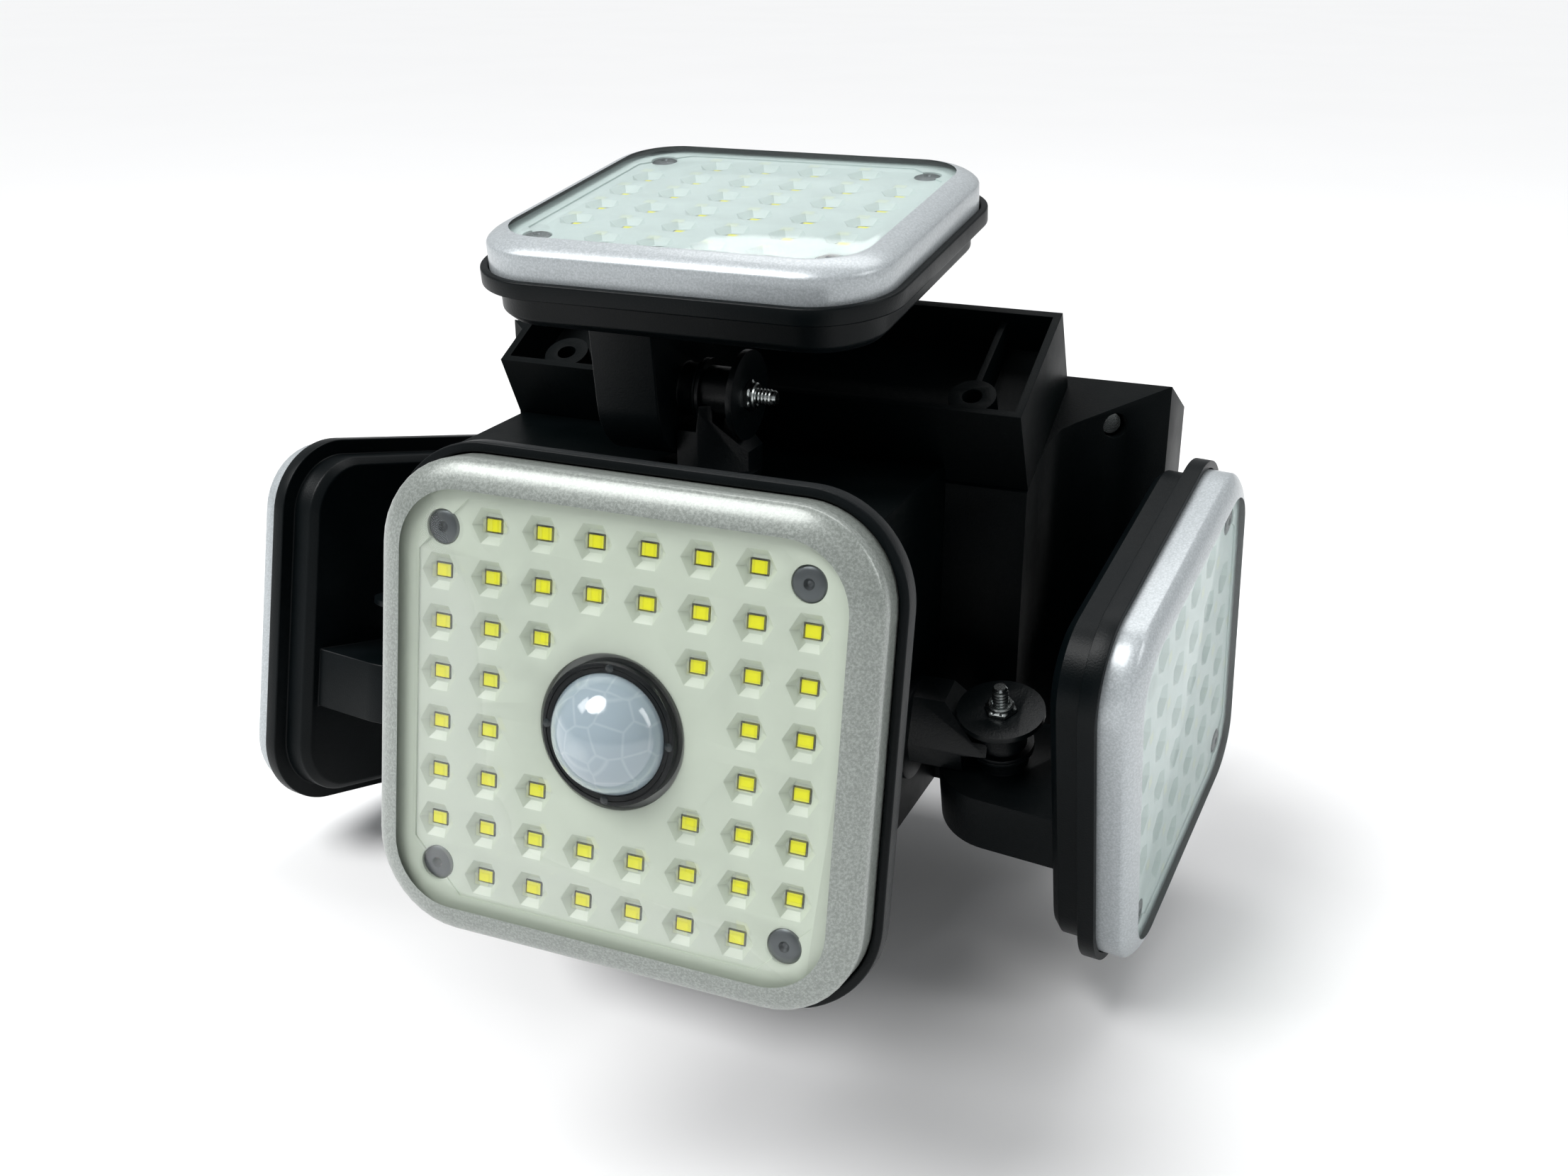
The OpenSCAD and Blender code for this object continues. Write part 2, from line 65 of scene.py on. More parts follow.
# The reflector's flange, 1.6 mm wider on each side than its CAD node, and its face.
FLANGE, FACE = (48.6, 44.7, 15.9), (47.2, 43.3, 14.5)
TRAY_BASE, FLANGE_TOP, TRAY_TOP = 0.3, 1.0, 2.5
FIELD = (41.9, 39.3)  # recessed field that holds the pockets
FIELD_FLOOR, FIELD_CORNER, POCKET_FLOOR = 2.1, 10.5, 0.55
WELL_R, WELL_FLOOR = 3.45, 1.2
SCREW = (36.74, 33.44)
AXIS_Y, AXIS_D = 25.0, 36.0  # hinge axis: across the head, and behind its light board
DOME_R, BEZEL_R, BEZEL_TOP, CAP_H = 11.5, 13.65, 3.8, 8.2
CLIP_RING = 12.55  # circle on the bezel that holds the clips
NUT_STEPS = 48
CAP_R = (DOME_R**2 + CAP_H**2) / (2 * CAP_H)
FRONT_PITCH, OTHER_PITCH = (10.7, 9.92), (13.7, 12.7)

# Each head: base turn, arm swivel about X, tilt about the hinge bolt, edge that the lug is on.
HEADS = {
    "front": ((90, 0, 0), 0.0, -9.4, -1),
    "top": ((0, 0, 0), 0.0, 7.5, -1),
    "right": (None, 16.0, -5.2, 1),
    "left": ((0, -90, 0), -13.0, -12.5, -1),
}
HINGE_AT = {
    joint["name"][: -len("_tilt")]: Vector(joint["pos_m"])
    for joint in frame["joints"]
    if joint["name"].endswith("_tilt")
}


def turned(degrees, axis):
    return Matrix.Rotation(math.radians(degrees), 4, axis)


def hinge_frame(head):
    """Hinge frame of a head's arm: X along the bolt, Z out of the lamp's face before its tilt."""
    base, swivel, _, _ = HEADS[head]
    if base is None:
        turn = turned(90, "Y") @ turned(180, "Z")
    else:
        turn = Euler([math.radians(a) for a in base]).to_matrix().to_4x4()
    return Matrix.Translation(HINGE_AT[head]) @ turned(swivel, "X") @ turn


def head_frame(head):
    """A head's own frame: the light board's face is z = 0 and Z points out of the lamp."""
    _, _, tilt, side = HEADS[head]
    return (hinge_frame(head) @ turned(tilt, "X")
            @ Matrix.Translation((0, -side * AXIS_Y * MM, AXIS_D * MM)))


# ---------------------------------------------------------------- materials


def linear(code, alpha=1.0):
    """An sRGB hex colour as the linear values that shaders use."""
    parts = [int(code[i : i + 2], 16) / 255 for i in (1, 3, 5)]
    return tuple(c / 12.92 if c <= 0.04045 else ((c + 0.055) / 1.055) ** 2.4 for c in parts) + (alpha,)


def add(tree, kind, links=None, **settings):
    """Adds a node, sets its properties, and sets or links its inputs."""
    node = tree.nodes.new(kind)
    for key, value in settings.items():
        setattr(node, key, value)
    for key, value in (links or {}).items():
        if isinstance(value, bpy.types.NodeSocket):
            tree.links.new(value, node.inputs[key])
        else:
            node.inputs[key].default_value = value
    return node


def new_material(name):
    mat = bpy.data.materials.new(name)
    mat.use_nodes = True
    tree = mat.node_tree
    tree.nodes.clear()
    out = add(tree, "ShaderNodeOutputMaterial")
    place = add(tree, "ShaderNodeTexCoord").outputs["Object"]
    return mat, tree, out, place


def surface(tree, out, **inputs):
    shader = add(tree, "ShaderNodeBsdfPrincipled", {k.replace("_", " "): v for k, v in inputs.items()})
    tree.links.new(shader.outputs[0], out.inputs[0])
    return shader


def grained(name, base, worn, rough, grain_mm, depth_mm, spread=0.12, **inputs):
    """A moulded or machined surface: grain in the bump, slow patches in roughness, and paler wear
    here and there."""
    mat, tree, out, place = new_material(name)
    grain = add(tree, "ShaderNodeTexNoise", {"Vector": place, "Scale": 1 / (grain_mm * MM), "Detail": 3.0,
                                             "Roughness": 0.65})
    patch = add(tree, "ShaderNodeTexNoise", {"Vector": place, "Scale": 1 / (22 * MM), "Detail": 4.0,
                                             "Roughness": 0.6})
    wear = add(tree, "ShaderNodeMapRange", {"Value": patch.outputs["Fac"], "From Min": 0.5,
                                            "From Max": 0.8})
    colour = add(tree, "ShaderNodeMix", {0: wear.outputs[0], 6: linear(base), 7: linear(worn)},
                 data_type="RGBA")
    gloss = add(tree, "ShaderNodeMapRange", {"Value": patch.outputs["Fac"],
                                             "From Min": 0.3, "From Max": 0.7,
                                             "To Min": rough - spread / 2, "To Max": rough + spread / 2})
    bump = add(tree, "ShaderNodeBump", {"Height": grain.outputs["Fac"], "Distance": depth_mm * MM,
                                        "Strength": 1.0})
    surface(tree, out, Base_Color=colour.outputs[2], Roughness=gloss.outputs[0], Normal=bump.outputs[0],
            **inputs)
    return mat


# ABS moulded in a spark-eroded tool: near black with a trace of green, satin, glittering where it turns
# to the light.
# The real grain is about 0.1 mm; it is drawn at 0.45 mm so that it shows.
ABS_BLACK = grained("ABS_black_spark_grain", "#03080A", "#060C0F", 0.4, 0.45, 0.05, IOR=1.5,
                    Specular_IOR_Level=0.14)
# The same ABS on the body, which the light hardly reaches.
ABS_BODY = grained("ABS_black_body_grain", "#020607", "#04090B", 0.44, 0.45, 0.05, IOR=1.5,
                   Specular_IOR_Level=0.06)
# The same ABS on the arms and hubs, a little rougher from the tool.
ABS_HUB = grained("ABS_black_coarse_grain", "#03080A", "#070C0F", 0.34, 0.55, 0.06, IOR=1.5,
                  Specular_IOR_Level=0.26)
# Smooth black ABS of the bezel's clips.
CLIP_BLACK = grained("ABS_black_polished", "#1A2224", "#20282A", 0.12, 1.2, 0.005, IOR=1.5)
# Silicone gasket: dull, dark grey.
SILICONE = grained("silicone_dark_moulded", "#101213", "#16191A", 0.7, 1.2, 0.02, IOR=1.43)
# White ABS of the pocketed reflector: semi-gloss, slightly green in the shade.
ABS_WHITE = grained("ABS_white_semi_gloss", "#B9C3B4", "#B1BBAD", 0.38, 2.5, 0.01, IOR=1.5)
# White ABS of the side and top heads' reflectors, cleaner and cooler.
ABS_WHITE_COOL = grained("ABS_white_cool", "#B6C6C3", "#AFBFBC", 0.4, 2.5, 0.01, IOR=1.5)
# White solder mask on the light boards and the control board.
SOLDER_MASK = grained("solder_mask_white", "#C9CDC9", "#BFC4C0", 0.5, 1.5, 0.01, IOR=1.5)
# Chip package: dark around the phosphor as painted shade, standing for the shaded gap in each reflector
# window.
CHIP_PAINTED_SHADE = grained("chip_package_painted_shade", "#2A291C", "#383725", 0.45, 0.8, 0.01, IOR=1.5)
# Bright zinc on the hinge bolts and nuts, the retainers, the cheek screws and the sensor's can.
ZINC = grained("zinc_plated_steel", "#B9BFBE", "#8E9593", 0.22, 0.9, 0.02, Metallic=1.0)
# Black zinc on the lens screws.
BLACK_ZINC = grained("black_zinc_steel", "#565B5D", "#3F4446", 0.38, 0.7, 0.02, Metallic=0.7)
# Shrink wrap on the battery.
SHRINK_WRAP = grained("PVC_shrink_wrap_blue", "#2E5E96", "#3A6EA5", 0.3, 3.0, 0.02, IOR=1.5)


def phosphor():
    """Silicone phosphor: saturated lemon yellow, smooth, dry looking, with a faint painted glow that
    brightens the yellow.
    """
    mat, tree, out, place = new_material("silicone_phosphor_yellow_painted_glow")
    tone = add(tree, "ShaderNodeTexNoise", {"Vector": place, "Scale": 1 / (0.6 * MM), "Detail": 2.0})
    colour = add(tree, "ShaderNodeMix", {0: tone.outputs["Fac"], 6: linear("#DCDD00"),
                                         7: linear("#CFCB00")}, data_type="RGBA")
    bump = add(tree, "ShaderNodeBump", {"Height": tone.outputs["Fac"], "Distance": 0.02 * MM,
                                        "Strength": 1.0})
    # The emission is a painted glow: the chips are not lit.
    surface(tree, out, Base_Color=colour.outputs[2], Roughness=0.35, Normal=bump.outputs[0],
            Emission_Color=linear("#E6EA00"), Emission_Strength=0.1)
    return mat


PHOSPHOR = phosphor()


def clear_window():
    """Injection-moulded polycarbonate, polished: clear, with a little mould texture in its reflection."""
    mat, tree, out, place = new_material("polycarbonate_clear_polished")
    haze = add(tree, "ShaderNodeTexNoise", {"Vector": place, "Scale": 1 / (9 * MM), "Detail": 3.0})
    bump = add(tree, "ShaderNodeBump", {"Height": haze.outputs["Fac"], "Distance": 0.02 * MM,
                                        "Strength": 1.0})
    gloss = add(tree, "ShaderNodeMapRange", {"Value": haze.outputs["Fac"], "To Min": 0.04,
                                             "To Max": 0.12})
    glass = add(tree, "ShaderNodeBsdfPrincipled", {"Base Color": linear("#FFFFFF"),
                                                   "Roughness": gloss.outputs[0],
                                                   "IOR": 1.45, "Normal": bump.outputs[0],
                                                   "Transmission Weight": 1.0,
                                                   "Alpha": 0.12})
    tree.links.new(glass.outputs[0], out.inputs[0])
    return mat


CLEAR = clear_window()


def frosted_rim(name, body, fleck, rough):
    """Polycarbonate etched in the tool: silvery, grainy where it catches the light. Grain 0.15 mm,
    drawn at 0.5 mm."""
    mat, tree, out, place = new_material(name)
    grain = add(tree, "ShaderNodeTexNoise", {"Vector": place, "Scale": 1 / (0.5 * MM), "Detail": 4.0,
                                             "Roughness": 0.75})
    tone = add(tree, "ShaderNodeMapRange", {"Value": grain.outputs["Fac"], "From Min": 0.42,
                                            "From Max": 0.62})
    colour = add(tree, "ShaderNodeMix", {0: tone.outputs[0], 6: linear(body), 7: linear(fleck)},
                 data_type="RGBA")
    gloss = add(tree, "ShaderNodeMapRange", {"Value": grain.outputs["Fac"], "To Min": rough - 0.08,
                                             "To Max": rough + 0.08})
    bump = add(tree, "ShaderNodeBump", {"Height": grain.outputs["Fac"], "Distance": 0.02 * MM,
                                        "Strength": 1.0})
    surface(tree, out, Base_Color=colour.outputs[2], Roughness=gloss.outputs[0], Normal=bump.outputs[0],
            Metallic=0.2, IOR=1.58, Coat_Weight=0.25, Coat_Roughness=0.12)
    return mat


# One frosted polycarbonate in two copies: the front head's rim darker, as painted shade, and the top and
# side heads' rims paler, as painted light.
FRONT_RIM_PAINTED_SHADE = frosted_rim("polycarbonate_frosted_front_painted_shade", "#7B817C", "#989E99", 0.32)
OTHER_RIMS_PAINTED_LIGHT = frosted_rim("polycarbonate_frosted_others_painted_light", "#A3A9AC", "#BBC1C4", 0.32)


def milky_dome():
    """Polyethylene Fresnel dome: milky bluish white, glossy outside, with faint lens cells about 5 mm
    across."""
    mat, tree, out, place = new_material("polyethylene_milky_cells")
    size = {"Vector": place, "Scale": 1 / (5.2 * MM), "Randomness": 0.5}
    cells = add(tree, "ShaderNodeTexVoronoi", size, feature="F1")
    gap = add(tree, "ShaderNodeTexVoronoi", size, feature="DISTANCE_TO_EDGE")
    line = add(tree, "ShaderNodeMapRange", {"Value": gap.outputs["Distance"], "From Min": 0.0,
                                            "From Max": 0.07})
    colour = add(tree, "ShaderNodeMix", {0: line.outputs[0], 6: linear("#A3B0B7"), 7: linear("#96A5AD")},
                 data_type="RGBA")
    bump = add(tree, "ShaderNodeBump", {"Height": cells.outputs["Distance"], "Distance": 0.35 * MM,
                                        "Strength": 0.45},
               invert=True)
    surface(tree, out, Base_Color=colour.outputs[2], Roughness=0.12, Normal=bump.outputs[0],
            Subsurface_Weight=0.4, Subsurface_Radius=(0.004, 0.004, 0.005), Subsurface_Scale=1.0,
            IOR=1.5, Coat_Weight=1.0, Coat_Roughness=0.03)
    return mat


MILKY = milky_dome()

# ---------------------------------------------------------------- mesh code


def outline(half_w, half_h, r, z, steps=10):
    """Points of a rounded rectangle at height z, anticlockwise from its right side."""
    points = []
    for sx, sy, start in ((1, 1, 0), (-1, 1, 90), (-1, -1, 180), (1, -1, 270)):
        for i in range(steps + 1):
            a = math.radians(start + 90 * i / steps)
            points.append(Vector((sx * (half_w - r) + r * math.cos(a),
                                  sy * (half_h - r) + r * math.sin(a), z)))
    return points


def circle_like(points, r, z):
    """A circle with one point on the ray of each point given."""
    return [Vector((r * p.x / math.hypot(p.x, p.y), r * p.y / math.hypot(p.x, p.y), z)) for p in points]


def circle(r, z, count=48):
    return [Vector((r * math.cos(a), r * math.sin(a), z))
            for a in (2 * math.pi * i / count for i in range(count))]


def loft(bm, loops, slots=None, cap_first=False, cap_last=False):
    """Skins closed loops of equal length. slots gives the material index of each band."""
    rows = [[bm.verts.new(p) for p in loop] for loop in loops]
    n = len(rows[0])
    for k in range(len(rows) - 1):
        for i in range(n):
            j = (i + 1) % n
            face = bm.faces.new((rows[k][i], rows[k][j], rows[k + 1][j], rows[k + 1][i]))
            face.material_index = slots[k] if slots else 0
    if cap_first:
        bm.faces.new(list(reversed(rows[0]))).material_index = slots[0] if slots else 0
    if cap_last:
        bm.faces.new(rows[-1]).material_index = slots[-1] if slots else 0
    return rows


def finished(bm, name, place, body, slot, *materials, sharp=32, replaces=()):
    """Turns millimetre mesh code into a placed, shaded piece that rides on its body."""
    bmesh.ops.remove_doubles(bm, verts=bm.verts, dist=1e-4)
    bmesh.ops.recalc_face_normals(bm, faces=bm.faces)
    for face in bm.faces:
        face.smooth = True
    for edge in bm.edges:
        if len(edge.link_faces) == 2 and edge.calc_face_angle(0) > math.radians(sharp):
            edge.smooth = False
    bm.transform(place @ Matrix.Scale(MM, 4))
    mesh = bpy.data.meshes.new(name)
    bm.to_mesh(mesh)
    bm.free()
    piece = bpy.data.objects.new(name, mesh)
    bpy.context.scene.collection.objects.link(piece)
    for mat in materials:
        mesh.materials.append(mat)
    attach(piece, body)
    if replaces:
        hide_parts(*replaces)
    return piece


def applied(piece):
    """Applies a piece's modifiers and returns the plain piece."""
    graph = bpy.context.evaluated_depsgraph_get()
    mesh = bpy.data.meshes.new_from_object(piece.evaluated_get(graph))
    piece.modifiers.clear()
    piece.data = mesh
    return piece


def softened(node, name, body, slot, material, width, segments=3):
    """A copy of a CAD node with its sharp edges rounded as a moulding's are."""
    bm = bmesh.new()
    bm.from_mesh(NODES[node].data)
    bmesh.ops.remove_doubles(bm, verts=bm.verts, dist=2e-6)
    bmesh.ops.dissolve_limit(bm, angle_limit=math.radians(0.4), verts=bm.verts, edges=bm.edges)
    bm.transform(Matrix.Scale(1 / MM, 4))
    piece = finished(bm, name, Matrix.Identity(4), body, slot, material, sharp=180, replaces=(node,))
    bevel = piece.modifiers.new("edge_round", "BEVEL")
    bevel.width, bevel.segments, bevel.limit_method = width * MM, segments, "ANGLE"
    bevel.angle_limit, bevel.harden_normals, bevel.use_clamp_overlap = math.radians(38), False, True
    applied(piece)
    mesh = piece.data
    bm = bmesh.new()
    bm.from_mesh(mesh)
    for face in bm.faces:
        face.smooth = True
    for edge in bm.edges:
        edge.smooth = not (len(edge.link_faces) == 2 and edge.calc_face_angle(0) > math.radians(36))
    bm.to_mesh(mesh)
    bm.free()
    return piece


# ---------------------------------------------------------------- lamp heads


def chip_spots(head):
    """Centres of the light-emitting chips."""
    if head == "front":
        px, py = FRONT_PITCH
        cells = [(i - 3.5, j - 3.5) for i in range(8) for j in range(8)]
        # The grid lacks its four corners and the twelve places under the sensor.
        return [(a * px, b * py) for a, b in cells
                if not (abs(a) == 3.5 and abs(b) == 3.5)
                and not (abs(a) < 2 and abs(b) < 2 and abs(a) + abs(b) < 3)]
    px, py = OTHER_PITCH
    cells = [(i - 2.5, j - 2.5) for i in range(6) for j in range(6)]
    return [(a * px, b * py) for a, b in cells if not (abs(a) == 2.5 and abs(b) == 2.5)]


def lens_cover(head):
    """Clear front with a frosted, rolled rim and a satin outer wall."""
    hw, hh, r = LENS
    hole = head == "front"
    bm = bmesh.new()
    # outer surface: inset from the wall, and height
    outer = [(0.0, -5.0), (0.0, -1.0), (0.0, 1.2), (0.25, 1.7), (0.7, 2.15), (1.3, 2.62), (2.1, 3.12),
             (3.0, 3.55), (3.9, 3.9), (4.8, 4.18), (5.6, 4.4)]
    inner = [(3.6, 2.8), (2.9, 2.3), (2.3, 1.7), (1.9, 1.0), (1.8, -1.0), (1.8, -5.0)]
    loops, slots = [], []
    for inset, z in outer:
        loops.append(outline(hw - inset, hh - inset, r - inset, z))
    slots += [1] * (len(outer) - 1)
    if hole:
        loops.append(circle_like(loops[-1], BEZEL_R + 1.2, LENS_TOP))
        loops.append(circle_like(loops[-1], BEZEL_R + 0.1, LENS_TOP - 0.25))
        loops.append(circle_like(loops[-1], BEZEL_R + 0.1, 2.8))
        slots += [0, 0, 0]
    for k, (inset, z) in enumerate(inner):
        loops.append(outline(hw - inset, hh - inset, max(r - inset, 2), z))
        slots.append(0 if k == 0 else 1)
    if hole:
        slots.append(1)
        loops.append(loops[0])
        loft(bm, loops, slots)
    else:
        split = len(outer)
        top = loft(bm, loops[:split], slots[: split - 1])
        bm.faces.new(top[-1]).material_index = 0
        low = loft(bm, loops[split:] + [loops[0]], [1] * len(inner))
        bm.faces.new(list(reversed(low[0]))).material_index = 0
    # The front head's rim takes the darker copy (painted shade), the top and side heads the paler copy
    # (painted light).
    frost = FRONT_RIM_PAINTED_SHADE if head == "front" else OTHER_RIMS_PAINTED_LIGHT
    return finished(bm, f"{head}_lens_cover", head_frame(head), f"{head}_head", "clear_plastic", CLEAR,
                    frost, sharp=40, replaces=(f"{head}_lens",))


def prism(bm, loops):
    loft(bm, loops, cap_first=True, cap_last=True)


def hexagon(x, y, r, z):
    return [Vector((x + r * math.cos(math.pi / 3 * i), y + r * math.sin(math.pi / 3 * i), z))
            for i in range(6)]


def rectangle(x, y, w, h, z):
    return [Vector((x + a * w / 2, y + b * h / 2, z)) for a, b in ((1, -1), (1, 1), (-1, 1), (-1, -1))]


def cut_away(piece, cutter_mesh):
    """Cuts a closed mesh out of a piece."""
    tool = bpy.data.objects.new("cutter", cutter_mesh)
    bpy.context.scene.collection.objects.link(tool)
    cut = piece.modifiers.new("cut", "BOOLEAN")
    cut.operation, cut.solver, cut.object = "DIFFERENCE", "EXACT", tool
    applied(piece)
    bpy.data.objects.remove(tool)


def mesh_of(build):
    bm = bmesh.new()
    build(bm)
    bmesh.ops.recalc_face_normals(bm, faces=bm.faces)
    mesh = bpy.data.meshes.new("cutter")
    bm.to_mesh(mesh)
    bm.free()
    return mesh


def reflector(head):
    """White moulding with a recessed field of six-sided pockets, a window over each chip and wells
    for the screws."""
    front = head == "front"
    spots = chip_spots(head)
    top_r, low_r = (3.95, 2.55) if front else (4.7, 3.0)
    window = (3.7, 3.0) if front else (3.9, 3.2)
    bm = bmesh.new()
    prism(bm, [outline(*FLANGE, TRAY_BASE), outline(*FLANGE, FLANGE_TOP), outline(*FACE, TRAY_TOP)])
    piece = finished(bm, f"{head}_reflector_tray", Matrix.Scale(1 / MM, 4), f"{head}_head",
                     "white_plastic", ABS_WHITE if front else ABS_WHITE_COOL, sharp=20)
    fw, fh = FIELD
    cut = FIELD_CORNER

    def field(m):
        octagon = [Vector((x, y, 0)) for x, y in (
            (fw, -fh + cut), (fw, fh - cut), (fw - cut, fh), (cut - fw, fh),
            (-fw, fh - cut), (-fw, cut - fh), (cut - fw, -fh), (fw - cut, -fh))]
        prism(m, [[p + Vector((0, 0, z)) for p in octagon] for z in (FIELD_FLOOR, 4)])

    def pockets(m):
        for x, y in spots:
            grow = (TRAY_TOP + 0.1 - POCKET_FLOOR) / (FIELD_FLOOR - POCKET_FLOOR)
            prism(m, [hexagon(x, y, low_r, POCKET_FLOOR),
                      hexagon(x, y, low_r + (top_r - low_r) * grow, TRAY_TOP + 0.1)])

    def windows(m):
        for x, y in spots:
            prism(m, [rectangle(x, y, *window, -1), rectangle(x, y, *window, 1.0)])

    def wells(m):
        for sx in (-1, 1):
            for sy in (-1, 1):
                prism(m, [[p + Vector((sx * SCREW[0], sy * SCREW[1], 0)) for p in circle(WELL_R, z, 32)]
                          for z in (WELL_FLOOR, 4)])
        if front:
            prism(m, [circle(BEZEL_R + 1.2, z, 64) for z in (-1, 4)])

    for build in (field, pockets, windows, wells):
        cut_away(piece, mesh_of(build))
    edge = piece.modifiers.new("edge_round", "BEVEL")
    edge.width, edge.segments, edge.limit_method, edge.angle_limit = 0.18, 2, "ANGLE", math.radians(25)
    applied(piece)
    bm = bmesh.new()
    bm.from_mesh(piece.data)
    for e in bm.edges:
        e.smooth = not (len(e.link_faces) == 2 and e.calc_face_angle(0) > math.radians(30))
    for f in bm.faces:
        f.smooth = True
    bm.transform(head_frame(head) @ Matrix.Scale(MM, 4))
    bm.to_mesh(piece.data)
    bm.free()
    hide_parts(f"{head}_reflector")
    return piece


def chip_tree(name):
    """Node group that puts a box of a given size at each point of a mesh."""
    tree = bpy.data.node_groups.new(name, "GeometryNodeTree")
    face = tree.interface
    face.new_socket("Points", in_out="INPUT", socket_type="NodeSocketGeometry")
    for label, value in (("Length", 3.5), ("Width", 2.8), ("Height", 0.7)):
        face.new_socket(label, in_out="INPUT", socket_type="NodeSocketFloat").default_value = value
    face.new_socket("Finish", in_out="INPUT", socket_type="NodeSocketMaterial")
    face.new_socket("Chips", in_out="OUTPUT", socket_type="NodeSocketGeometry")
    given = add(tree, "NodeGroupInput").outputs
    size = add(tree, "ShaderNodeCombineXYZ", {"X": given["Length"], "Y": given["Width"],
                                              "Z": given["Height"]})
    box = add(tree, "GeometryNodeMeshCube", {"Size": size.outputs[0]})
    copies = add(tree, "GeometryNodeInstanceOnPoints", {"Points": given["Points"],
                                                        "Instance": box.outputs[0]})
    real = add(tree, "GeometryNodeRealizeInstances", {"Geometry": copies.outputs[0]})
    painted = add(tree, "GeometryNodeSetMaterial", {"Geometry": real.outputs[0],
                                                    "Material": given["Finish"]})
    add(tree, "NodeGroupOutput", {"Chips": painted.outputs[0]})
    return tree


CHIP_TREE = chip_tree("chips_on_points")


def chips(head, name, length, width, height, z, material, replaces=()):
    mesh = bpy.data.meshes.new(name)
    mesh.from_pydata([(x, y, z) for x, y in chip_spots(head)], [], [])
    seed = bpy.data.objects.new(name, mesh)
    bpy.context.scene.collection.objects.link(seed)
    nodes = seed.modifiers.new("chips", "NODES")
    nodes.node_group = CHIP_TREE
    sockets = {s.name: s.identifier for s in CHIP_TREE.interface.items_tree if s.in_out == "INPUT"}
    for label, value in (("Length", length), ("Width", width), ("Height", height), ("Finish", material)):
        nodes[sockets[label]] = value
    bpy.context.view_layer.update()
    applied(seed)
    seed.data.transform(head_frame(head) @ Matrix.Scale(MM, 4))
    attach(seed, f"{head}_head")
    if replaces:
        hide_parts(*replaces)
    return seed


def lens_screws(head):
    """Four domed screws with a round recess, lathed."""
    bm = bmesh.new()
    for sx in (-1, 1):
        for sy in (-1, 1):
            at = Vector((sx * SCREW[0], sy * SCREW[1], 0))
            rows = [(0.0, -9.0), (1.45, -9.0), (1.45, 1.25), (3.3, 1.25), (3.3, 1.9), (3.0, 2.2),
                    (2.4, 2.36), (1.5, 2.44), (1.05, 2.44), (0.55, 1.7), (0.0, 1.5)]
            loops = [[p + at for p in circle(max(r, 0.01), z, 32)] for r, z in rows]
            loft(bm, loops, cap_first=True, cap_last=True)
    return finished(bm, f"{head}_lens_screws", head_frame(head), f"{head}_head", "dark_steel", BLACK_ZINC,
                    replaces=(f"{head}_screws",))


def threaded(bm, r, x0, x1, pitch):
    """A bolt's end along X: rings of crests and roots, and a chamfered tip."""
    rows = [(r * 0.86, x0)]
    x = x0
    while x + pitch < x1 - 0.5:
        rows += [(r * 0.86, x + pitch * 0.15), (r, x + pitch * 0.45), (r, x + pitch * 0.6),
                 (r * 0.86, x + pitch * 0.9)]
        x += pitch
    rows += [(r * 0.9, x1 - 0.6), (r * 0.72, x1)]
    loops = [[Vector((px, p.x, p.y)) for p in circle(rr, 0, 28)] for rr, px in rows]
    loft(bm, loops, cap_first=True, cap_last=True)


def hinge_hardware(head):
    bm = bmesh.new()
    threaded(bm, 2.0, 2.0, 18.5, 0.9)
    rows = [(2.0, 2.2), (2.0, -17.4), (3.9, -17.4), (3.9, -19.4), (3.5, -20.4), (2.6, -20.9),
            (1.3, -20.9), (1.2, -19.4), (0.01, -19.2)]
    loft(bm, [[Vector((x, p.x, p.y)) for p in circle(r, 0, 32)] for r, x in rows],
         cap_first=True, cap_last=True)
    finished(bm, f"{head}_hinge_bolt", hinge_frame(head), f"{head}_arm_body", "zinc_steel", ZINC,
             replaces=(f"{head}_bolt",))
    bm = bmesh.new()

    def ring(r, x):
        return [Vector((x, p.x, p.y)) for p in circle(r, 0, NUT_STEPS)]

    def hex_loop(af, x):
        loop = []
        for i in range(NUT_STEPS):
            a = 2 * math.pi * i / NUT_STEPS
            reach = af / 2 / math.cos((a + math.pi / 6) % (math.pi / 3) - math.pi / 6)
            loop.append(Vector((x, reach * math.cos(a), reach * math.sin(a))))
        return loop

    # Lock nut: hexagon below, rolled round collar above.
    loops = [hex_loop(7, 10.35), hex_loop(7, 12.0), hex_loop(6.9, 12.2), ring(3.3, 12.5),
             ring(3.25, 13.2), ring(2.9, 13.5), ring(2.3, 13.5), ring(2.1, 13.2), ring(2.1, 10.35)]
    loft(bm, loops + [loops[0]])
    finished(bm, f"{head}_lock_nut", hinge_frame(head), f"{head}_arm_body", "zinc_steel", ZINC, sharp=28,
             replaces=(f"{head}_nut",))


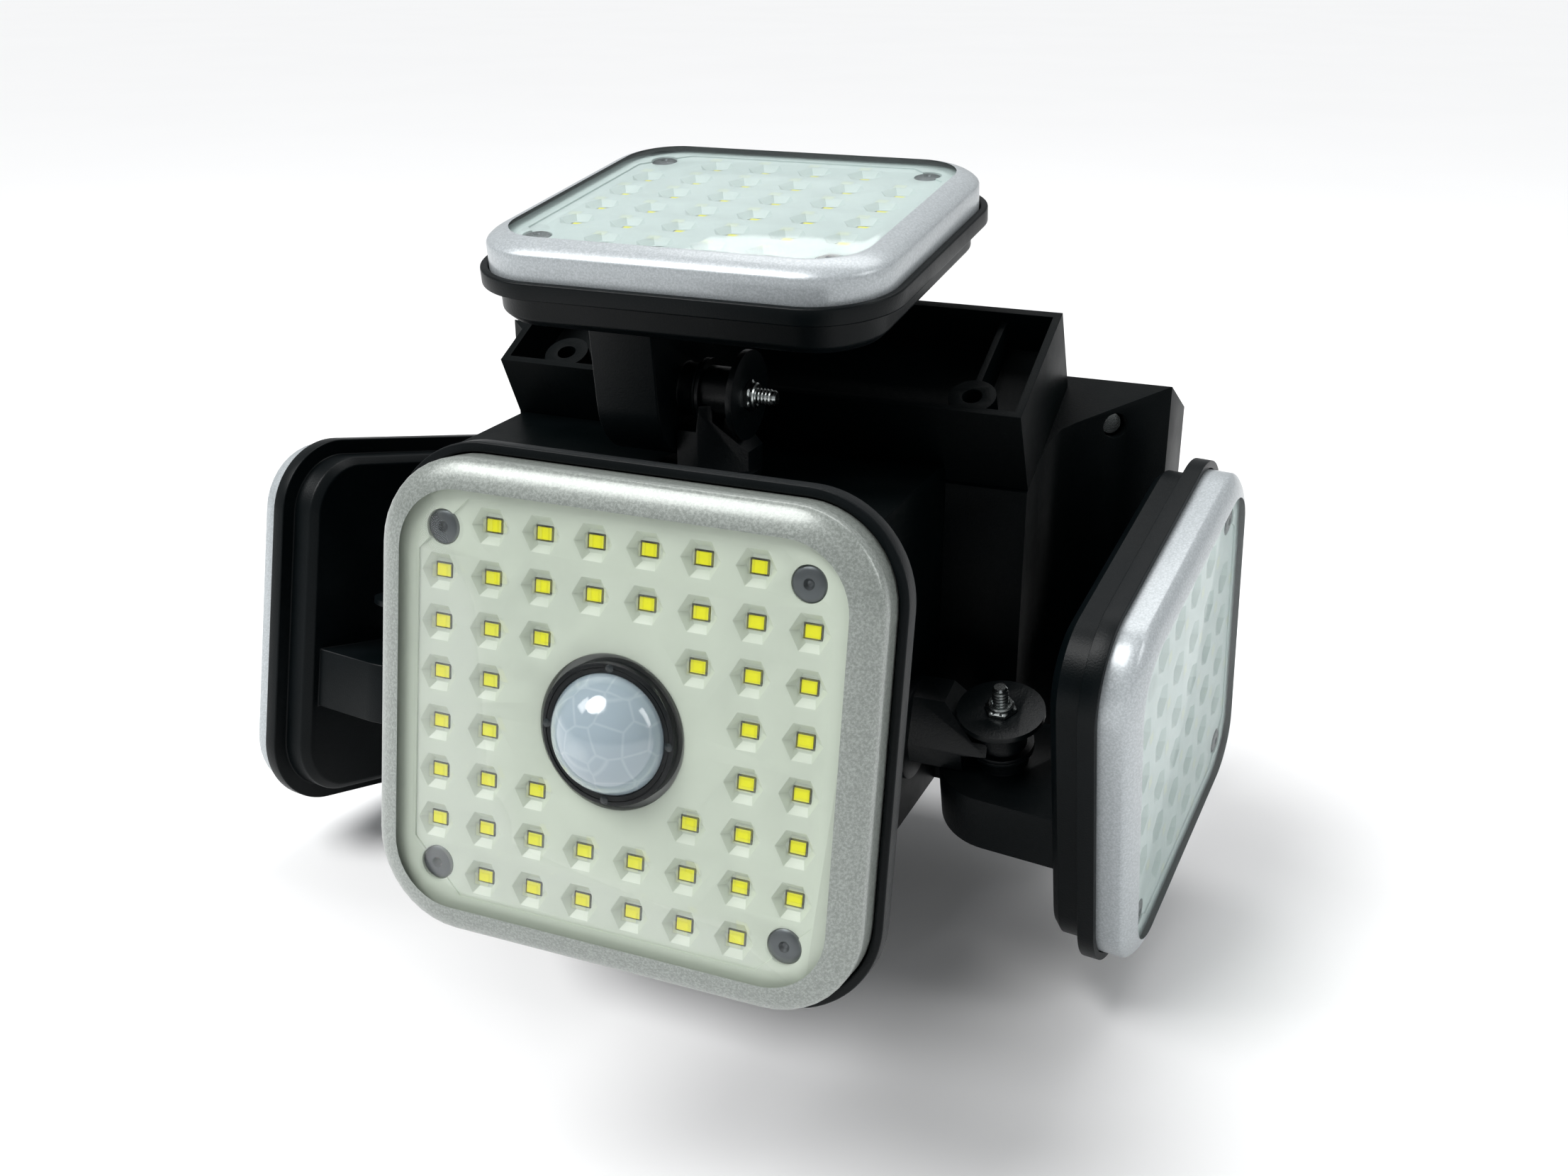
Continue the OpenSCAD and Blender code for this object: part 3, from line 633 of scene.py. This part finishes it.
def motion_sensor():
    place = head_frame("front")
    bm = bmesh.new()
    rows = [(BEZEL_R, 0.2), (BEZEL_R, 3.35), (BEZEL_R - 0.12, 3.65), (BEZEL_R - 0.35, 3.78),
            (12.75, 3.78), (12.68, 3.6), (12.55, 3.6), (12.48, 3.72), (DOME_R + 0.2, 3.72),
            (DOME_R + 0.06, 3.55), (DOME_R + 0.06, 0.2)]
    loops = [circle(r, z, 96) for r, z in rows]
    loft(bm, loops + [loops[0]])
    finished(bm, "motion_sensor_bezel", place, "front_head", "black_plastic", ABS_HUB,
             replaces=("motion_bezel",))
    bm = bmesh.new()
    outer = [(DOME_R, 1.0), (DOME_R, BEZEL_TOP)]
    for i in range(1, 19):
        z = BEZEL_TOP + CAP_H * math.sin(math.radians(5 * i))
        outer.append((max(math.sqrt(max(CAP_R**2 - (z - BEZEL_TOP - CAP_H + CAP_R) ** 2, 0)), 0.02),
                      z - 0.002))
    loft(bm, [circle(r, z, 72) for r, z in outer], cap_first=True, cap_last=True)
    finished(bm, "motion_sensor_dome", place, "front_head", "milky_plastic", MILKY, sharp=60,
             replaces=("motion_dome",))
    bm = bmesh.new()
    for i in range(4):
        at = turned(90 * i, "Z") @ Vector((CLIP_RING, 0, 0))
        prism(bm, [[p + at for p in circle(r, z, 24)] for r, z in ((0.8, 3.0), (0.8, 3.82), (0.65, 3.9))])
    finished(bm, "motion_sensor_clips", place, "front_head", "black_plastic", CLIP_BLACK, sharp=50)


for head_name in HEADS:
    lens_cover(head_name)
    reflector(head_name)
    # The packages' dark colour is painted shade in the reflector windows.
    chips(head_name, f"{head_name}_chip_packages", 3.5, 2.8, 0.6, 0.32, CHIP_PAINTED_SHADE)
    chips(head_name, f"{head_name}_chip_phosphor", 2.9, 2.3, 0.12, 0.66, PHOSPHOR,
          replaces=(f"{head_name}_leds",))
    lens_screws(head_name)
    hinge_hardware(head_name)
    softened(f"{head_name}_housing", f"{head_name}_lamp_housing", f"{head_name}_head", "black_plastic",
             ABS_BLACK, 0.7)
    softened(f"{head_name}_arm", f"{head_name}_swivel_arm", f"{head_name}_arm_body", "black_plastic",
             ABS_HUB, 0.5)
motion_sensor()
softened("shell", "body_shell", "wall_body", "black_plastic", ABS_BODY, 1.0)
softened("arm_block", "body_arm_block", "wall_body", "black_plastic", ABS_BODY, 0.8)
softened("tray", "open_tray", "wall_body", "black_plastic", ABS_BODY, 0.5)
softened("back_plate", "wall_plate", "wall_body", "black_plastic", ABS_BODY, 0.4)

# Finishes of the CAD nodes that stay as they are, by name or by the last word of their name.
FINISH = {
    "gasket": SILICONE,
    "grommet": SILICONE,
    "board": SOLDER_MASK,
    "retainer": ZINC,
    "motion_sensor": ZINC,
    "cheek_screws": ZINC,
    "plate_screws": BLACK_ZINC,
    "battery": SHRINK_WRAP,
}
for node, thing in NODES.items():
    mat = FINISH.get(node) or FINISH.get(node.split("_")[-1])
    if mat and not thing.hide_render:
        thing.data.materials.clear()
        thing.data.materials.append(mat)

# ---------------------------------------------------------------- floor, light, camera

FLOOR_HALF = 14  # metres


def paper_floor():
    mat, tree, out, place = new_material("paper_white_matt")
    tone = add(tree, "ShaderNodeTexNoise", {"Vector": place, "Scale": 4.0, "Detail": 2.0})
    colour = add(tree, "ShaderNodeMix", {0: tone.outputs["Fac"], 6: linear("#F6F6F6"),
                                         7: linear("#F9F9F9")}, data_type="RGBA")
    surface(tree, out, Base_Color=colour.outputs[2], Roughness=0.9)
    bm = bmesh.new()
    bmesh.ops.create_grid(bm, x_segments=1, y_segments=1, size=FLOOR_HALF)
    mesh = bpy.data.meshes.new("floor")
    bm.to_mesh(mesh)
    bm.free()
    mesh.materials.append(mat)
    floor = bpy.data.objects.new("floor", mesh)
    floor.location.z = CAD_BOX[0].z - 0.002
    bpy.context.scene.collection.objects.link(floor)


paper_floor()

world = bpy.data.worlds.new("studio")
bpy.context.scene.world = world
world.use_nodes = True
world.node_tree.nodes.clear()
sky = add(world.node_tree, "ShaderNodeBackground", {"Color": linear("#F4F6F8"), "Strength": 0.42})
add(world.node_tree, "ShaderNodeOutputWorld", {"Surface": sky.outputs[0]})


def softbox(name, at, aim, size, watts, colour="#FFFFFF"):
    light = bpy.data.lights.new(name, "AREA")
    light.shape, light.size, light.size_y, light.energy = "RECTANGLE", size[0], size[1], watts
    light.color = linear(colour)[:3]
    lamp = bpy.data.objects.new(name, light)
    lamp.location = at
    lamp.rotation_euler = (Vector(aim) - Vector(at)).to_track_quat("-Z", "Y").to_euler()
    bpy.context.scene.collection.objects.link(lamp)


MIDDLE = (0.0, -0.1, 0.02)
softbox("overhead_panel", (0.0, 0.3, 0.9), MIDDLE, (0.9, 0.4), 3.5)
softbox("key_panel", (-0.75, -0.6, 0.8), MIDDLE, (0.4, 0.4), 2.5)
softbox("side_panel", (1.0, -0.1, 0.6), MIDDLE, (0.3, 0.6), 2.5)
sun = bpy.data.lights.new("broad_overhead", "SUN")
sun.energy, sun.angle = 2.4, math.radians(32)
sun_lamp = bpy.data.objects.new("broad_overhead", sun)
sun_lamp.rotation_euler = (math.radians(24), math.radians(-24), 0.0)
bpy.context.scene.collection.objects.link(sun_lamp)
bpy.context.scene.view_settings.view_transform = "Standard"

camera_data = bpy.data.cameras.new("camera")
camera_data.lens, camera_data.sensor_width = 38.07, 36.0
camera_data.clip_start, camera_data.clip_end = 0.01, 50
camera = bpy.data.objects.new("camera", camera_data)
camera.location = Vector((0.169, -0.447, 0.1634))
camera.rotation_euler = (math.radians(67.96), 0.0, math.radians(23.03))
bpy.context.scene.collection.objects.link(camera)
bpy.context.scene.camera = camera
